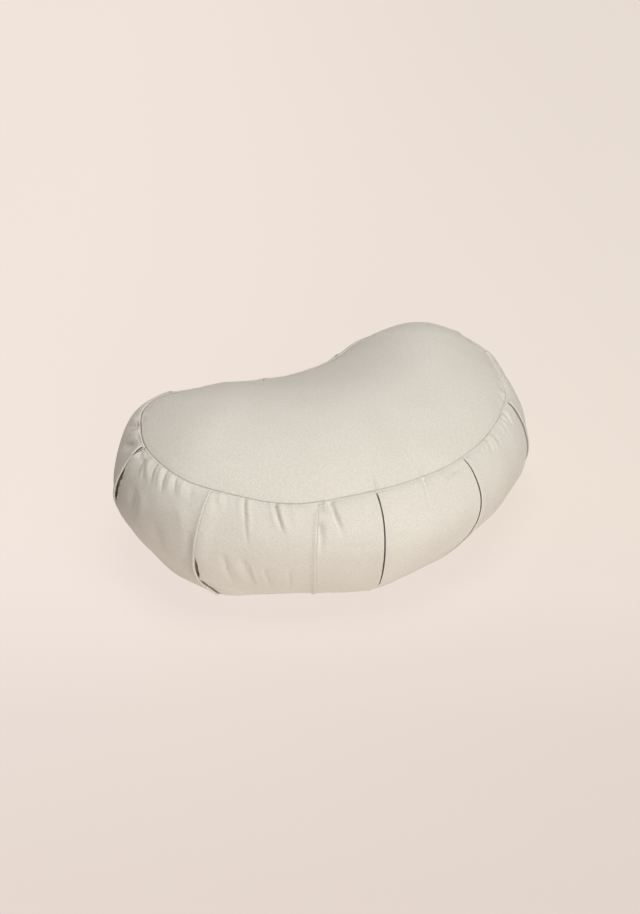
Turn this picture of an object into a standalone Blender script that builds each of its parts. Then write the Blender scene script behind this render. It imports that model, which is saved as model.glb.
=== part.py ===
"""A crescent meditation cushion: a filled canvas body with a knife-pleated side band, closed by a
crescent panel above and another below.

Metres, +Z up. The cushion rests on Z = 0, centred on the origin. Its long axis is X, its convex
front faces -Y and its hollow back faces +Y.
"""

import bisect
import math
from collections import namedtuple

import bmesh
import bpy
from mathutils import Vector

# The plan at the top seam: two round ends, a convex front arc and a hollow back arc, all tangent.
END_SPREAD = 0.1150  # from the middle to the centre of each round end
LEFT_END_RADIUS = 0.0920
RIGHT_END_RADIUS = 0.0750
FRONT_RADIUS = 0.2110
BACK_RADIUS = 0.1510

# The side view.
TOP_SEAM_Z = 0.1290
SEAM_RISE_TO_BACK = 0.067  # metres of rise for each metre towards +Y
SEAM_RISE_TO_LEFT = 0.028
CROWN = 0.0345  # the ridge of the top panel above its seam
CROWN_RISE_TO_RIGHT = 0.026  # the right end is crowned a little more
CROWN_POWER = 0.93
BOTTOM_SEAM_Z = 0.0070
BOTTOM_INSET = 0.0150  # the bottom seam lies this far inside the top one
RIM_POWER = 1.5
FLAT_SHARE = 0.74  # the bottom panel is flat this far from its spine to its seam

# The side band's outward swell.
SWELL = 0.0342
SWELL_POWER = 0.73
SWELL_SKEW = 1.12  # above 1, the fullest place is above mid height

# Where the seams wander from their plain course.
Wander = namedtuple("Wander", "along reach most")
TOP_SEAM_RISES = (
    Wander(-0.145, 0.125, -0.0070),
    Wander(-0.372, 0.085, 0.0060),
)
BOTTOM_SEAM_INSETS = (
    Wander(-0.270, 0.070, 0.0045),
    Wander(-0.213, 0.040, -0.0050),
    Wander(-0.120, 0.090, 0.0050),
    Wander(-0.050, 0.060, -0.0060),
    Wander(0.115, 0.070, 0.0040),
)

# Cloth and seams.
PANEL_THICKNESS = 0.0024
CLEARANCE = 0.0005
SLOPE_ROOM = 0.0005  # more clearance over the bottom panel's rising rim
SEAM_LIP_WIDTH = 0.0013  # the folded edge of the band beside a panel
SEAM_LIP_HEIGHT = 0.0005
PANEL_EDGE_INSET = 0.0042
FOLD_OPENING_POWER = 0.5  # below 1, a pleat opens soon after its sewn end

# Knife pleats: each section of the band laps over the next one on its right, seen from outside.
Pleat = namedtuple("Pleat", "along lean depth fullness")
PLEATS = (
    # along: fold edge from the front middle, anticlockwise from above, at the top seam (m)
    # lean: how far the edge has moved along the band where it meets the bottom seam (m)
    # depth: height of the step (m); fullness: swell of the section after the pleat
    Pleat(-0.508, 0.000, 0.0050, 0.85),
    Pleat(-0.409, 0.000, 0.0050, 1.05),
    Pleat(-0.309, 0.000, 0.0055, 0.92),
    Pleat(-0.214, -0.009, 0.0060, 0.85),
    Pleat(-0.116, 0.000, 0.0045, 0.92),
    Pleat(-0.059, -0.002, 0.0055, 1.02),
    Pleat(0.050, -0.016, 0.0055, 1.00),
    Pleat(0.156, -0.006, 0.0055, 0.93),
    Pleat(0.256, 0.000, 0.0050, 0.84),
    Pleat(0.355, 0.000, 0.0050, 0.75),
    Pleat(0.455, 0.000, 0.0050, 0.60),
)

# The band's cross-section through a pleat, from the lapping section to the one beneath.
FoldPoint = namedtuple("FoldPoint", "sewn open proud")
FOLD = (
    # sewn: place along the band at a seam, where the fold is flat (m)
    # open: place along the band at mid height; proud: share of the pleat's depth, outwards
    FoldPoint(-0.0120, -0.0120, 0.16),
    FoldPoint(-0.0040, -0.0035, 0.46),
    FoldPoint(0.0000, 0.0000, 0.50),
    FoldPoint(0.0008, -0.0008, 0.18),
    FoldPoint(0.0016, -0.0065, -0.12),
    FoldPoint(0.0024, -0.0055, -0.50),
    FoldPoint(0.0032, 0.0025, -0.48),
    FoldPoint(0.0130, 0.0130, -0.14),
)

# Mesh density.
BAND_ROWS = (0.0, 0.07, 0.17, 0.29, 0.41, 0.53, 0.65, 0.77, 0.88, 0.95, 1.0)
SECTION_STEP = 0.0165
PANEL_COLUMNS = 72
CROWN_RINGS = (0.10, 0.27, 0.46, 0.64, 0.80, 0.92, 1.0)
BASE_RINGS = (0.12, 0.45, FLAT_SHARE, 0.88, 1.0)

CANVAS_TOP = (0.62, 0.58, 0.50, 1.0)
CANVAS_BAND = (0.65, 0.60, 0.53, 1.0)
CANVAS_BASE = (0.58, 0.54, 0.47, 1.0)
CANVAS_ROUGHNESS = 0.92

Arc = namedtuple("Arc", "centre radius start sweep side spine_start spine_end length")
PlanPoint = namedtuple("PlanPoint", "place outward spine")


def tangent_centre(to_left, to_right):
    """The centre, towards +Y, that lies at these distances from the centres of the two ends."""
    x = (to_left**2 - to_right**2) / (4 * END_SPREAD)
    return Vector((x, math.sqrt(to_left**2 - (x + END_SPREAD) ** 2)))


def plan_arcs():
    """The outline's arcs, from the front middle anticlockwise. A spine value runs from -1 at the
    left end's centre to 1 at the right end's. The side is 1 where the arc is convex, else -1."""
    left, right = Vector((-END_SPREAD, 0)), Vector((END_SPREAD, 0))
    front = tangent_centre(FRONT_RADIUS - LEFT_END_RADIUS, FRONT_RADIUS - RIGHT_END_RADIUS)
    back = tangent_centre(BACK_RADIUS + LEFT_END_RADIUS, BACK_RADIUS + RIGHT_END_RADIUS)

    def direction(centre, end):
        return math.atan2(end.y - centre.y, end.x - centre.x)

    front_left, front_right = direction(front, left), direction(front, right)
    back_left, back_right = direction(back, left), direction(back, right)
    middle = -math.pi / 2
    half = math.pi
    rows = (
        (front, FRONT_RADIUS, middle, front_right, 1, 0, 1),
        (right, RIGHT_END_RADIUS, front_right, back_right + half, 1, 1, 1),
        (back, BACK_RADIUS, back_right, back_left, -1, 1, -1),
        (left, LEFT_END_RADIUS, back_left + half, front_left, 1, -1, -1),
        (front, FRONT_RADIUS, front_left, middle, 1, -1, 0),
    )
    arcs = []
    for centre, radius, start, end, side, spine_start, spine_end in rows:
        sweep = side * ((end - start) * side % (2 * math.pi))
        length = radius * abs(sweep)
        arcs.append(Arc(centre, radius, start, sweep, side, spine_start, spine_end, length))
    return arcs


ARCS = plan_arcs()
PERIMETER = sum(arc.length for arc in ARCS)
FRONT_Y = ARCS[0].centre.y - FRONT_RADIUS
NOTCH_Y = ARCS[2].centre.y - BACK_RADIUS
SPINE_DIP = -(FRONT_Y + NOTCH_Y) / 2
SPINE_RADIUS = (END_SPREAD**2 + SPINE_DIP**2) / (2 * SPINE_DIP)
SPINE_ANGLE = math.asin(END_SPREAD / SPINE_RADIUS)
CENTRE = Vector(
    (
        (RIGHT_END_RADIUS - LEFT_END_RADIUS) / 2,
        (LEFT_END_RADIUS + FRONT_Y) / 2,
    )
)


def spine_point(share):
    angle = share * SPINE_ANGLE
    return Vector(
        (
            SPINE_RADIUS * math.sin(angle),
            SPINE_RADIUS - SPINE_DIP - SPINE_RADIUS * math.cos(angle),
        )
    )


def plan_point(along):
    """The outline's point at a distance from the front middle, anticlockwise from above."""
    rest = along % PERIMETER
    for arc in ARCS:
        if rest <= arc.length:
            break
        rest -= arc.length
    share = rest / arc.length
    angle = arc.start + arc.sweep * share
    ray = Vector((math.cos(angle), math.sin(angle)))
    spine = spine_point(arc.spine_start + (arc.spine_end - arc.spine_start) * share)
    return PlanPoint(arc.centre + arc.radius * ray - CENTRE, arc.side * ray, spine - CENTRE)


def smooth(share):
    share = min(max(share, 0.0), 1.0)
    return share * share * (3 - 2 * share)


def seam_plane(place):
    """Height of the top seam's plane over a place in plan."""
    return TOP_SEAM_Z + SEAM_RISE_TO_BACK * place.y - SEAM_RISE_TO_LEFT * place.x


def wandering(along, wanders):
    """The sum of a table's bumps at a place along the outline."""
    total = 0.0
    for wander in wanders:
        away = (along - wander.along + PERIMETER / 2) % PERIMETER - PERIMETER / 2
        total += wander.most * smooth(1 - abs(away) / wander.reach)
    return total


def seam_height(place, along):
    """Height of the top seam over a place in plan."""
    return seam_plane(place) + wandering(along, TOP_SEAM_RISES)


def bottom_inset(along):
    """How far the bottom seam lies inside the top one."""
    return BOTTOM_INSET + wandering(along, BOTTOM_SEAM_INSETS)


def section_fullness(along):
    """The swell's factor, blended from one section's middle to the next one's."""
    starts = [pleat.along for pleat in PLEATS]
    place = (along - starts[0]) % PERIMETER + starts[0]
    here = bisect.bisect_right(starts, place) - 1
    ends = starts[1:] + [starts[0] + PERIMETER]
    middle = (starts[here] + ends[here]) / 2
    step = 1 if place > middle else -1
    other = (here + step) % len(PLEATS)
    other_middle = (starts[other] + ends[other]) / 2
    reach = (other_middle - middle) * step % PERIMETER
    share = smooth(abs(place - middle) / reach)
    return PLEATS[here].fullness * (1 - share) + PLEATS[other].fullness * share


def band_columns():
    """(place at a seam, place at mid height, proud in metres, lean) for each column of the band."""
    columns = []
    count = len(PLEATS)
    for index, pleat in enumerate(PLEATS):
        following = PLEATS[(index + 1) % count]
        gap = (following.along - pleat.along) % PERIMETER
        for point in FOLD:
            columns.append(
                (
                    pleat.along + point.sewn,
                    pleat.along + point.open,
                    point.proud * pleat.depth,
                    pleat.lean,
                )
            )
        start, end = FOLD[-1].open, gap + FOLD[0].open
        steps = max(2, round((end - start) / SECTION_STEP))
        for step in range(1, steps):
            offset = start + (end - start) * step / steps
            lean = pleat.lean + (following.lean - pleat.lean) * offset / gap
            columns.append((pleat.along + offset, pleat.along + offset, 0.0, lean))
    return columns


def band_point(column, height):
    """A point of the side band: height runs from 0 at the bottom seam to 1 at the top one."""
    sewn, opened, proud, lean = column
    opening = math.sin(math.pi * height) ** FOLD_OPENING_POWER if 0 < height < 1 else 0.0
    along = sewn + (opened - sewn) * opening + lean * (1 - height)
    plan = plan_point(along)
    swell = math.sin(math.pi * height**SWELL_SKEW) ** SWELL_POWER if 0 < height < 1 else 0.0
    out = SWELL * section_fullness(along) * swell
    out += proud * opening
    out -= bottom_inset(along) * (1 - height)
    place = plan.place + plan.outward * out
    z = BOTTOM_SEAM_Z + (seam_height(plan.place, along) - BOTTOM_SEAM_Z) * height
    return Vector((place.x, place.y, z))


def lip_point(column, height, inset, rise):
    """A point just inside one of the band's two seams."""
    along = column[0] + column[3] * (1 - height)
    plan = plan_point(along)
    place = plan.place - plan.outward * (bottom_inset(along) * (1 - height) + inset)
    z = BOTTOM_SEAM_Z + (seam_height(plan.place, along) - BOTTOM_SEAM_Z) * height + rise
    return Vector((place.x, place.y, z))


def panel_ring(ring, inset_at, height_at):
    """A ring of a panel: the ring value runs from 0 on the spine to 1 at the panel's edge."""
    points = []
    for index in range(PANEL_COLUMNS):
        along = PERIMETER * index / PANEL_COLUMNS
        plan = plan_point(along)
        place = plan.spine.lerp(plan.place - plan.outward * inset_at(along), ring)
        points.append(Vector((place.x, place.y, height_at(ring, plan, along))))
    return points


def crown_inset(_along):
    return PANEL_EDGE_INSET


def base_inset(along):
    return bottom_inset(along) + PANEL_EDGE_INSET


def crown_height(ring, plan, along):
    """Underside of the top panel."""
    low = seam_height(plan.place, along) - PANEL_THICKNESS / 2
    crown = CROWN + CROWN_RISE_TO_RIGHT * max(0.0, plan.spine.x)
    ridge = seam_plane(Vector((plan.spine.x, 0))) + crown - PANEL_THICKNESS
    return low + (ridge - low) * (1 - ring**2) ** CROWN_POWER


def rim_share(ring):
    """How far a ring is from the flat part of the bottom panel to its seam, from 0 to 1."""
    return max(0.0, (ring - FLAT_SHARE) / (1 - FLAT_SHARE))


def base_height(ring, _plan, _along):
    """Underside of the bottom panel: flat on the ground, then up to the bottom seam."""
    return (BOTTOM_SEAM_Z - PANEL_THICKNESS / 2) * rim_share(ring) ** RIM_POWER


def body_base_height(ring, plan, along):
    """Underside of the body, just clear of the bottom panel."""
    room = PANEL_THICKNESS + CLEARANCE + SLOPE_ROOM * rim_share(ring)
    return base_height(ring, plan, along) + room


def body_crown_height(ring, plan, along):
    """Top of the body, just clear of the top panel."""
    return crown_height(ring, plan, along) - CLEARANCE


def ring_loop(mesh, points):
    return [mesh.verts.new(point) for point in points]


def join_equal(mesh, first, second):
    """Quads between two closed loops of the same count."""
    count = len(first)
    for index in range(count):
        after = (index + 1) % count
        mesh.faces.new((first[index], first[after], second[after], second[index]))


def join_unlike(mesh, first, first_places, second, second_places):
    """Triangles between two closed loops of unlike counts, whose places run the same way round."""
    i, j = 0, 0
    while i < len(first) or j < len(second):
        next_first = first_places[i + 1] if i + 1 < len(first) else first_places[0] + 1
        next_second = second_places[j + 1] if j + 1 < len(second) else second_places[0] + 1
        a, b = first[i % len(first)], second[j % len(second)]
        if j >= len(second) or (i < len(first) and next_first <= next_second):
            mesh.faces.new((a, first[(i + 1) % len(first)], b))
            i += 1
        else:
            mesh.faces.new((a, second[(j + 1) % len(second)], b))
            j += 1


def fill_loop(mesh, loop):
    """Closes the narrow loop along the spine."""
    edges = [mesh.edges.get((loop[i - 1], loop[i])) for i in range(len(loop))]
    bmesh.ops.triangle_fill(mesh, edges=edges, use_beauty=True, normal=(0, 0, 1))


def canvas(name, colour):
    material = bpy.data.materials.new(name)
    material.use_nodes = True
    shader = material.node_tree.nodes["Principled BSDF"]
    shader.inputs["Base Color"].default_value = colour
    shader.inputs["Roughness"].default_value = CANVAS_ROUGHNESS
    shader.inputs["Metallic"].default_value = 0.0
    return material


def add_object(name, mesh, material, collection):
    data = bpy.data.meshes.new(name)
    mesh.to_mesh(data)
    mesh.free()
    data.materials.append(material)
    data.shade_smooth()
    piece = bpy.data.objects.new(name, data)
    collection.objects.link(piece)
    return piece


def make_body(collection):
    """The filled body, whose outside is the pleated side band."""
    mesh = bmesh.new()
    columns = band_columns()
    rotation = min(range(len(columns)), key=lambda i: columns[i][0] % PERIMETER)
    columns = columns[rotation:] + columns[:rotation]
    places = [column[0] % PERIMETER / PERIMETER for column in columns]
    panel_places = [index / PANEL_COLUMNS for index in range(PANEL_COLUMNS)]

    crown = [ring_loop(mesh, panel_ring(r, crown_inset, body_crown_height)) for r in CROWN_RINGS]
    base = [ring_loop(mesh, panel_ring(r, base_inset, body_base_height)) for r in BASE_RINGS]
    top_lip = ring_loop(mesh, [lip_point(c, 1, SEAM_LIP_WIDTH, SEAM_LIP_HEIGHT) for c in columns])
    base_lip = ring_loop(mesh, [lip_point(c, 0, SEAM_LIP_WIDTH, -SEAM_LIP_HEIGHT) for c in columns])
    rows = [ring_loop(mesh, [band_point(c, height) for c in columns]) for height in BAND_ROWS]

    for inner, outer in zip(crown, crown[1:]):
        join_equal(mesh, inner, outer)
    for inner, outer in zip(base, base[1:]):
        join_equal(mesh, inner, outer)
    for lower, upper in zip(rows, rows[1:]):
        join_equal(mesh, lower, upper)
    join_equal(mesh, rows[-1], top_lip)
    join_equal(mesh, base_lip, rows[0])
    join_unlike(mesh, crown[-1], panel_places, top_lip, places)
    join_unlike(mesh, base[-1], panel_places, base_lip, places)
    fill_loop(mesh, crown[0])
    fill_loop(mesh, base[0])
    bmesh.ops.recalc_face_normals(mesh, faces=mesh.faces)
    add_object("side_band", mesh, canvas("canvas_band", CANVAS_BAND), collection)


def make_panel(name, rings, inset_at, height_at, colour, collection):
    """One crescent of canvas: its underside, thickened upwards."""
    mesh = bmesh.new()
    loops = [ring_loop(mesh, panel_ring(ring, inset_at, height_at)) for ring in rings]
    for inner, outer in zip(loops, loops[1:]):
        join_equal(mesh, inner, outer)
    fill_loop(mesh, loops[0])
    bmesh.ops.recalc_face_normals(mesh, faces=mesh.faces)
    if sum(face.normal.z for face in mesh.faces) < 0:
        bmesh.ops.reverse_faces(mesh, faces=mesh.faces)
    piece = add_object(name, mesh, canvas("canvas_" + name, colour), collection)
    thickness = piece.modifiers.new("thickness", "SOLIDIFY")
    thickness.thickness = PANEL_THICKNESS
    thickness.offset = 1.0


def main():
    for old in list(bpy.data.objects):
        bpy.data.objects.remove(old, do_unlink=True)
    collection = bpy.data.collections.new("crescent_cushion")
    bpy.context.scene.collection.children.link(collection)
    make_body(collection)
    make_panel("top_panel", CROWN_RINGS, crown_inset, crown_height, CANVAS_TOP, collection)
    make_panel("bottom_panel", BASE_RINGS, base_inset, base_height, CANVAS_BASE, collection)


main()
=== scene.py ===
"""A crescent meditation cushion in pale canvas, on a pale floor under soft light.

Metres, +Z up. Distances along the outline run from the front middle, anticlockwise from above.
Heights on the side band run from 0 at the bottom seam to 1 at the top one.
"""

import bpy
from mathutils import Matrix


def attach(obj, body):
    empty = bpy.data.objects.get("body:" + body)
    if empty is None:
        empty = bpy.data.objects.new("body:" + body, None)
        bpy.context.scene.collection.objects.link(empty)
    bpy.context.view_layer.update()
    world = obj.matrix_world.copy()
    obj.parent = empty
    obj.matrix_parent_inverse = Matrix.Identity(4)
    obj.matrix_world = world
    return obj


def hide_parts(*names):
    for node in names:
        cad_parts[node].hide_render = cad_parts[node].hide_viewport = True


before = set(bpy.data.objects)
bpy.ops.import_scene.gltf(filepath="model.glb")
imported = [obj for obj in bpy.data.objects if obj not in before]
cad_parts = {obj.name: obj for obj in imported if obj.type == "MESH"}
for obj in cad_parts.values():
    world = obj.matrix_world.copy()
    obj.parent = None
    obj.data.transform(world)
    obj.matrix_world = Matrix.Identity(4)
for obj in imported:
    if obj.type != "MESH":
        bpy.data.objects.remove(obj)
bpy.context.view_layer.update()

import math
from collections import namedtuple

import bpy
import numpy as np
from mathutils import Vector, noise

MM = 0.001

# ---------------------------------------------------------------- the plan and the side view
END_SPREAD = 0.1150
LEFT_END_RADIUS = 0.0920
RIGHT_END_RADIUS = 0.0750
FRONT_RADIUS = 0.2110
BACK_RADIUS = 0.1510

TOP_SEAM_Z = 0.1290
SEAM_RISE_TO_BACK = 0.067
SEAM_RISE_TO_LEFT = 0.028
CROWN = 0.0345
CROWN_RISE_TO_RIGHT = 0.026
CROWN_POWER = 0.93
BOTTOM_SEAM_Z = 0.0070
BOTTOM_INSET = 0.0150
RIM_POWER = 1.5
FLAT_SHARE = 0.74

SWELL = 0.0342
SWELL_POWER = 0.73
SWELL_SKEW = 1.12

Wander = namedtuple("Wander", "along reach most")
TOP_SEAM_RISES = (
    Wander(-0.145, 0.125, -0.0070),
    Wander(-0.372, 0.085, 0.0060),
)
BOTTOM_SEAM_INSETS = (
    Wander(-0.270, 0.070, 0.0045),
    Wander(-0.213, 0.040, -0.0050),
    Wander(-0.120, 0.090, 0.0050),
    Wander(-0.050, 0.060, -0.0060),
    Wander(0.115, 0.070, 0.0040),
)

# How the sewn cushion wanders from that even shape.
SEAM_SAGS = (
    Wander(-0.428, 0.055, -0.0045),
    Wander(0.395, 0.050, -0.0042),
)
SEAM_REACHES = (  # along (m), how far out the top seam has been pulled over the band (mm)
    (-0.400, 1.5), (-0.362, 4.9), (-0.330, 2.1), (-0.280, 1.0), (-0.236, 2.7), (-0.185, 0.9),
    (-0.140, 1.4), (-0.078, -2.5), (-0.028, -0.9), (0.050, 0.9), (0.110, 2.5), (0.150, 4.6),
    (0.180, 7.2), (0.203, 5.3), (0.232, 2.0), (0.262, 0.3),
)  # fmt: skip
REACH_FADE = 6  # the seam's reach dies out down the band as this power of the height
REACH_SAG = 0.45  # of its reach: how far the seam hangs lower there
Bulge = namedtuple("Bulge", "along height reach_along reach_height rise")  # rise in mm, outwards
BULGES = (
    Bulge(-0.345, 0.70, 0.050, 0.25, -2.4),
    Bulge(-0.262, 0.06, 0.045, 0.14, 2.8),
    Bulge(-0.200, 0.00, 0.050, 0.12, 1.8),
    Bulge(-0.090, 0.00, 0.050, 0.10, 1.4),
    Bulge(-0.024, 0.06, 0.030, 0.12, -2.2),
    Bulge(0.055, 0.24, 0.045, 0.22, -4.2),
    Bulge(0.142, 0.50, 0.045, 0.22, 2.9),
    Bulge(0.240, 0.85, 0.060, 0.22, -3.2),
)

# ---------------------------------------------------------------- the pleats
# along: the fold's edge at the top seam (m); fullness: swell of the section after the pleat
# edge, after: how proud the fold's edge is, and the next section beside it, where open (mm)
# slit: width between them (mm); most, reach: height share where it is widest, and how far it opens
# roll, turn: radius of the fold's edge, and of the next section's; welt: how proud its rim is (mm)
# top, foot: width of its openings beside the seams; hook: how far its foot turns right (mm)
Pleat = namedtuple(
    "Pleat", "along fullness edge after slit most reach roll turn welt top foot hook"
)
PLEATS = (
    Pleat(-0.508, 0.85, 1.6, 0.6, 1.4, 0.50, 0.50, 1.0, 0.8, 0.5, 0.0, 0.0, 0),
    Pleat(-0.409, 1.05, 2.2, -0.4, 1.9, 0.45, 0.45, 1.2, 0.8, 0.6, 0.0, 0.0, 0),
    Pleat(-0.309, 0.94, 2.8, -0.4, 1.05, 0.68, 0.25, 1.1, 0.7, 1.1, 1.05, 0.0, 0),
    Pleat(-0.214, 0.85, 2.6, 0.1, 2.0, 0.37, 0.17, 1.2, 0.3, 1.0, 0.0, 2.8, 10),
    Pleat(-0.116, 0.92, 1.8, -0.4, 0.1, 0.28, 0.42, 0.9, 0.1, 1.2, 0.0, 0.0, 0),
    Pleat(-0.059, 1.02, 0.9, 0.9, 1.25, 0.72, 0.80, 0.4, 0.25, 0.2, 1.1, 1.1, -3),
    Pleat(0.050, 1.00, 0.5, 1.3, 1.05, 0.50, 0.85, 0.4, 0.3, 0.2, 0.2, 1.5, 0),
    Pleat(0.156, 0.93, 0.2, 2.2, 1.15, 0.66, 0.60, 0.5, 0.35, 0.2, 0.0, 0.0, 0),
    Pleat(0.256, 0.84, 2.0, -0.4, 1.6, 0.40, 0.40, 1.0, 0.8, 0.5, 0.0, 0.0, 0),
    Pleat(0.355, 0.75, 1.4, 0.6, 1.4, 0.50, 0.50, 0.8, 0.6, 0.5, 0.0, 0.0, 0),
    Pleat(0.455, 0.60, 1.6, 0.2, 1.6, 0.45, 0.45, 1.0, 0.8, 0.5, 0.0, 0.0, 0),
)
SEWN_EDGE = 0.9  # mm, where a pleat runs into a seam
SEWN_AFTER = -0.2
FOLDED_WITHIN = 0.0022  # height share in which a fold comes loose from its seam
TOP_OPENS, TOP_OPEN = 0.940, 0.970  # heights where the opening beside the top seam starts, is full
FOOT_OPENS, FOOT_REACH = 0.18, 0.24  # the hook's height, and how far up the foot's opening reaches
FOOT_RAMP = 2.5  # how many times as fast as the hook that opening comes up
POCKET = 8.4  # mm that the fold's hidden layers run back


def plan_arcs():
    """(centre, radius, start, sweep, side, spine start, spine end) of each arc of the outline."""
    left, right = np.array((-END_SPREAD, 0.0)), np.array((END_SPREAD, 0.0))

    def tangent_centre(to_left, to_right):
        x = (to_left**2 - to_right**2) / (4 * END_SPREAD)
        return np.array((x, math.sqrt(to_left**2 - (x + END_SPREAD) ** 2)))

    def direction(centre, end):
        return math.atan2(end[1] - centre[1], end[0] - centre[0])

    front = tangent_centre(FRONT_RADIUS - LEFT_END_RADIUS, FRONT_RADIUS - RIGHT_END_RADIUS)
    back = tangent_centre(BACK_RADIUS + LEFT_END_RADIUS, BACK_RADIUS + RIGHT_END_RADIUS)
    front_left, front_right = direction(front, left), direction(front, right)
    back_left, back_right = direction(back, left), direction(back, right)
    middle = -math.pi / 2
    rows = (
        (front, FRONT_RADIUS, middle, front_right, 1, 0, 1),
        (right, RIGHT_END_RADIUS, front_right, back_right + math.pi, 1, 1, 1),
        (back, BACK_RADIUS, back_right, back_left, -1, 1, -1),
        (left, LEFT_END_RADIUS, back_left + math.pi, front_left, 1, -1, -1),
        (front, FRONT_RADIUS, front_left, middle, 1, -1, 0),
    )
    arcs = []
    for centre, radius, start, end, side, spine_start, spine_end in rows:
        sweep = side * ((end - start) * side % (2 * math.pi))
        arcs.append((centre, radius, start, sweep, side, spine_start, spine_end))
    return arcs


ARCS = plan_arcs()
ARC_CENTRES = np.array([arc[0] for arc in ARCS])
ARC_RADII, ARC_STARTS, ARC_SWEEPS, ARC_SIDES, ARC_SPINES, ARC_SPINE_ENDS = (
    np.array([arc[k] for arc in ARCS], float) for k in range(1, 7)
)
ARC_LENGTHS = ARC_RADII * np.abs(ARC_SWEEPS)
ARC_ENDS = np.cumsum(ARC_LENGTHS)
PERIMETER = float(ARC_ENDS[-1])
FRONT_Y = ARC_CENTRES[0, 1] - FRONT_RADIUS
NOTCH_Y = ARC_CENTRES[2, 1] - BACK_RADIUS
SPINE_DIP = -(FRONT_Y + NOTCH_Y) / 2
SPINE_RADIUS = (END_SPREAD**2 + SPINE_DIP**2) / (2 * SPINE_DIP)
SPINE_ANGLE = math.asin(END_SPREAD / SPINE_RADIUS)
CENTRE = np.array(((RIGHT_END_RADIUS - LEFT_END_RADIUS) / 2, (LEFT_END_RADIUS + FRONT_Y) / 2))


def plan(along):
    """Arrays of the outline's places, outward directions and spine points."""
    rest = np.mod(along, PERIMETER)
    arc = np.minimum(np.searchsorted(ARC_ENDS, rest), len(ARCS) - 1)
    share = (rest - ARC_ENDS[arc] + ARC_LENGTHS[arc]) / ARC_LENGTHS[arc]
    angle = ARC_STARTS[arc] + ARC_SWEEPS[arc] * share
    ray = np.stack((np.cos(angle), np.sin(angle)), -1)
    place = ARC_CENTRES[arc] + ARC_RADII[arc][..., None] * ray - CENTRE
    turn = (ARC_SPINES[arc] + (ARC_SPINE_ENDS[arc] - ARC_SPINES[arc]) * share) * SPINE_ANGLE
    spine_y = SPINE_RADIUS - SPINE_DIP - SPINE_RADIUS * np.cos(turn)
    spine = np.stack((SPINE_RADIUS * np.sin(turn), spine_y), -1) - CENTRE
    return place, ARC_SIDES[arc][..., None] * ray, spine


def smooth(share):
    share = np.clip(share, 0.0, 1.0)
    return share * share * (3 - 2 * share)


def apart(along, other):
    """Signed distance round the outline from one place to another, the short way."""
    return np.mod(along - other + PERIMETER / 2, PERIMETER) - PERIMETER / 2


def wandering(along, wanders):
    return sum(w.most * smooth(1 - np.abs(apart(along, w.along)) / w.reach) for w in wanders)


def seam_plane(place):
    return TOP_SEAM_Z + SEAM_RISE_TO_BACK * place[..., 1] - SEAM_RISE_TO_LEFT * place[..., 0]


def seam_reach(along):
    """How far out the top seam lies from the even plan, in metres."""
    knots = np.array([knot[0] for knot in SEAM_REACHES])
    reaches = np.array([knot[1] for knot in SEAM_REACHES])
    knots = np.append(knots, knots[0] + PERIMETER)
    reaches = np.append(reaches, reaches[0])
    at = np.mod(along - knots[0], PERIMETER) + knots[0]
    index = np.clip(np.searchsorted(knots, at, side="right") - 1, 0, len(knots) - 2)
    share = smooth((at - knots[index]) / (knots[index + 1] - knots[index]))
    return (reaches[index] * (1 - share) + reaches[index + 1] * share) * MM


def seam_height(place, along):
    sag = REACH_SAG * np.maximum(0.0, seam_reach(along))
    return seam_plane(place) + wandering(along, TOP_SEAM_RISES + SEAM_SAGS) - sag


def bulges(along, height):
    total = 0.0
    for bulge in BULGES:
        near = smooth(1 - np.abs(apart(along, bulge.along)) / bulge.reach_along)
        level = smooth(1 - np.abs(height - bulge.height) / bulge.reach_height)
        total = total + bulge.rise * MM * near * level
    return total


def bottom_inset(along):
    return BOTTOM_INSET + wandering(along, BOTTOM_SEAM_INSETS)


def section_fullness(along):
    starts = np.array([pleat.along for pleat in PLEATS])
    ends = np.append(starts[1:], starts[0] + PERIMETER)
    middles = (starts + ends) / 2
    levels = np.array([pleat.fullness for pleat in PLEATS])
    places = np.concatenate((middles[-1:] - PERIMETER, middles, middles[:1] + PERIMETER))
    levels = np.concatenate((levels[-1:], levels, levels[:1]))
    at = np.mod(along - starts[0], PERIMETER) + starts[0]
    index = np.clip(np.searchsorted(places, at) - 1, 0, len(places) - 2)
    share = smooth((at - places[index]) / (places[index + 1] - places[index]))
    return levels[index] * (1 - share) + levels[index + 1] * share


def band_surface(along, height):
    """The side band without its pleats."""
    place, outward, _ = plan(along)
    inner = np.clip(height, 1e-9, 1 - 1e-9)
    swell = np.sin(np.pi * inner**SWELL_SKEW) ** SWELL_POWER
    out = SWELL * section_fullness(along) * swell - bottom_inset(along) * (1 - height)
    out = out + seam_reach(along) * height**REACH_FADE
    z = BOTTOM_SEAM_Z + (seam_height(place, along) - BOTTOM_SEAM_Z) * height
    flat = place + outward * out[..., None]
    return np.stack((flat[..., 0], flat[..., 1], z), -1)


NORMAL_STEP, NORMAL_RISE = 4e-4, 0.006  # metres along, and height share, each way


def band_normal(along, height):
    side = band_surface(along + NORMAL_STEP, height) - band_surface(along - NORMAL_STEP, height)
    low = np.maximum(height - NORMAL_RISE, 0.0)
    high = np.minimum(height + NORMAL_RISE, 1.0)
    rise = band_surface(along, high) - band_surface(along, low)
    normal = np.cross(side, rise)
    return normal / np.linalg.norm(normal, axis=-1, keepdims=True)


def ridge_height(spine):
    """How high the top panel stands over its spine."""
    crown = CROWN + CROWN_RISE_TO_RIGHT * np.maximum(0.0, spine[..., 0])
    return TOP_SEAM_Z - SEAM_RISE_TO_LEFT * spine[..., 0] + crown


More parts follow.
